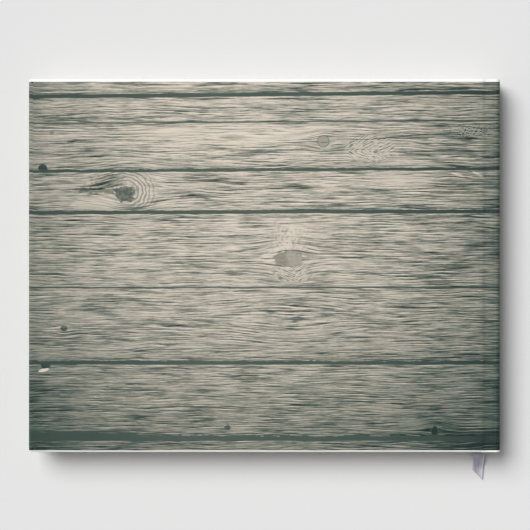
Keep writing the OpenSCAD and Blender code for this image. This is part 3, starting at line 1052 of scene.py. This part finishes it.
class GUESTBOOK_OT_sections(bpy.types.Operator):
    """Makes the sewn sections, each of folded sheets one inside another"""
    bl_idname = "guest_book.sections"
    bl_label = "Sewn sections"

    def execute(self, context):
        settings = context.scene.guest_book.paper
        finish = page_finish(settings)
        draw = random.Random(4)
        sheets = settings.leaves_to_section // 2
        for number in range(1, 8):
            low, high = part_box(f"section_{number}")
            middle = (low.z + high.z) / 2
            pitch = (high.z - low.z) / settings.leaves_to_section
            outer = pitch * (sheets - 0.5)
            centre = high.x - settings.page_thickness / 2 - outer
            parts = []
            for k in range(sheets):
                radius = outer - pitch * k
                far = low.x + draw.uniform(0, FORE_UNEVEN) * MM
                path = [(far + (centre - far) * s / 6, middle - radius) for s in range(6)]
                path += arc_points(centre, middle, radius, -math.pi / 2, math.pi / 2, 10)
                path += [(centre + (far - centre) * s / 6, middle + radius) for s in range(1, 7)]
                tail = low.y + draw.uniform(0, END_UNEVEN) * MM
                head = high.y - draw.uniform(0, END_UNEVEN) * MM
                parts.append(strip_along(path, settings.page_thickness, tail, head))
            points, faces, places = joined(parts)
            section = make_piece(f"section_{number}_sheets", points, faces, places, [finish])
            flat_edges(section)
            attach(section, "text_block")
            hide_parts(f"section_{number}")
        return {"FINISHED"}


PAGE_FINISH = {}


def page_finish(settings):
    """The writing paper, made once for all the pages."""
    if "page" not in PAGE_FINISH:
        PAGE_FINISH["page"] = paper_finish("page_paper", tuple(settings.page_colour), 0.06)
    return PAGE_FINISH["page"]


class GUESTBOOK_OT_turning_leaves(bpy.types.Operator):
    """Makes the leaves of the last section, each lying from the section's fold out to its own level"""
    bl_idname = "guest_book.turning_leaves"
    bl_label = "Turning leaves"

    def execute(self, context):
        settings = context.scene.guest_book.paper
        finish = page_finish(settings)
        draw = random.Random(9)
        fold_low, fold_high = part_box("last_section_fold")
        fold_level = (fold_low.z + fold_high.z) / 2
        for number in range(1, 7):
            low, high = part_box(f"leaf_{number}")
            level = (low.z + high.z) / 2
            far = low.x + draw.uniform(0, FORE_UNEVEN) * MM
            path = leaf_path(level, fold_level + (level - fold_level) * 0.8, far)
            tail = low.y + draw.uniform(0, END_UNEVEN) * MM
            head = high.y - draw.uniform(0, END_UNEVEN) * MM
            points, faces, places = strip_along(path, high.z - low.z, tail, head, 4)
            leaf = make_piece(f"turning_leaf_{number}", points, faces, places, [finish])
            flat_edges(leaf)
            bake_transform(leaf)
            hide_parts(f"leaf_{number}", *(["last_section_fold"] if number == 1 else []))
        return {"FINISHED"}


class GUESTBOOK_OT_binding(bpy.types.Operator):
    """Makes the crash cloth and finishes the thread and the spine liner"""
    bl_idname = "guest_book.binding"
    bl_label = "Binding"

    def execute(self, context):
        dress("sewing_thread", thread_finish())
        dress("spine_liner", liner_finish())
        finish = crash_cloth_finish()
        low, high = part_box("mull")
        spine_x = high.x - 0.15 * MM
        spine = make_piece("crash_cloth_spine", *strip_along(
            [(spine_x, low.z + 0.3 * MM + (high.z - low.z - 0.6 * MM) * k / 8) for k in range(9)],
            CLOTH_THICKNESS, low.y, high.y, 2), [finish])
        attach(spine, "text_block")
        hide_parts("mull")
        for side in ("back", "front"):
            level = high.z - 0.15 * MM if side == "back" else low.z + 0.15 * MM
            path = [(spine_x - (spine_x - low.x) * k / 10, level) for k in range(11)]
            strip = strip_along(path, CLOTH_THICKNESS, low.y, high.y, 2)
            flange = make_piece(f"crash_cloth_{side}", *strip, [finish])
            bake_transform(flange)
        return {"FINISHED"}


class GUESTBOOK_OT_bands(bpy.types.Operator):
    """Makes the head and tail bands: a wound bead and the tape it is woven on"""
    bl_idname = "guest_book.bands"
    bl_label = "Head and tail bands"

    def execute(self, context):
        finish = band_finish()
        for node, end in (("headband", 1), ("tailband", -1)):
            low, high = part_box(node)
            outer = high.y if end > 0 else low.y
            radius = BAND_RADIUS
            centre_x, centre_y = low.x + radius, outer - end * radius
            height = high.z - low.z
            around = 12
            rings = BAND_TURNS * STEPS_TO_TURN
            points, places, faces = [], [], []
            for k in range(rings + 1):
                swell = radius * (0.86 + 0.14 * abs(math.sin(math.pi * k / STEPS_TO_TURN)))
                for j in range(around):
                    angle = 2 * math.pi * j / around
                    lean = 0.12 * MM * math.sin(angle) if 0 < k < rings else 0.0
                    points.append((centre_x + swell * math.cos(angle), centre_y + swell * math.sin(angle),
                                   low.z + height * k / rings + lean))
                    places.append((height * k / rings, radius * angle))
            for k in range(rings):
                for j in range(around):
                    n = (j + 1) % around
                    faces.append((k * around + j, k * around + n,
                                  (k + 1) * around + n, (k + 1) * around + j))
            faces.append(tuple(range(around))[::-1])
            faces.append(tuple(rings * around + j for j in range(around)))
            tape_x = high.x - 0.14 * MM
            inner = low.y if end > 0 else high.y
            tape = strip_along([(tape_x, low.z + height * k / 8) for k in range(9)], CLOTH_THICKNESS,
                               min(inner, centre_y), max(inner, centre_y), 2)
            bead = (points, faces, places)
            piece = make_piece(f"{node}_silk", *joined([bead, tape]), [finish])
            flat_edges(piece)
            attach(piece, "text_block")
            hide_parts(node)
        return {"FINISHED"}


class GUESTBOOK_PT_panel(bpy.types.Panel):
    """Lists the pieces of the guest book and their settings"""
    bl_idname = "GUESTBOOK_PT_panel"
    bl_label = "Guest book"
    bl_space_type = "VIEW_3D"
    bl_region_type = "UI"
    bl_category = "Guest book"

    def draw(self, context):
        book = context.scene.guest_book
        for group in (book.cover, book.paper, book.ribbon, book.stage):
            box = self.layout.box()
            for name in group.bl_rna.properties.keys():
                if name not in ("rna_type", "name"):
                    box.prop(group, name)
        for maker in MAKERS:
            self.layout.operator(maker.bl_idname)


MAKERS = [GUESTBOOK_OT_stage, GUESTBOOK_OT_ribbon, GUESTBOOK_OT_cover_sheet, GUESTBOOK_OT_boards,
          GUESTBOOK_OT_endpapers, GUESTBOOK_OT_sections, GUESTBOOK_OT_turning_leaves,
          GUESTBOOK_OT_binding, GUESTBOOK_OT_bands]
CLASSES = [CoverSettings, PaperSettings, RibbonSettings, StageSettings, BookSettings, *MAKERS,
           GUESTBOOK_PT_panel]


def register():
    for each in CLASSES:
        bpy.utils.register_class(each)
    bpy.types.Scene.guest_book = PointerProperty(type=BookSettings)


def unregister():
    del bpy.types.Scene.guest_book
    for each in reversed(CLASSES):
        bpy.utils.unregister_class(each)


def main():
    register()
    for maker in MAKERS:
        group, name = maker.bl_idname.split(".")
        getattr(getattr(bpy.ops, group), name)()


if __name__ == "__main__":
    main()
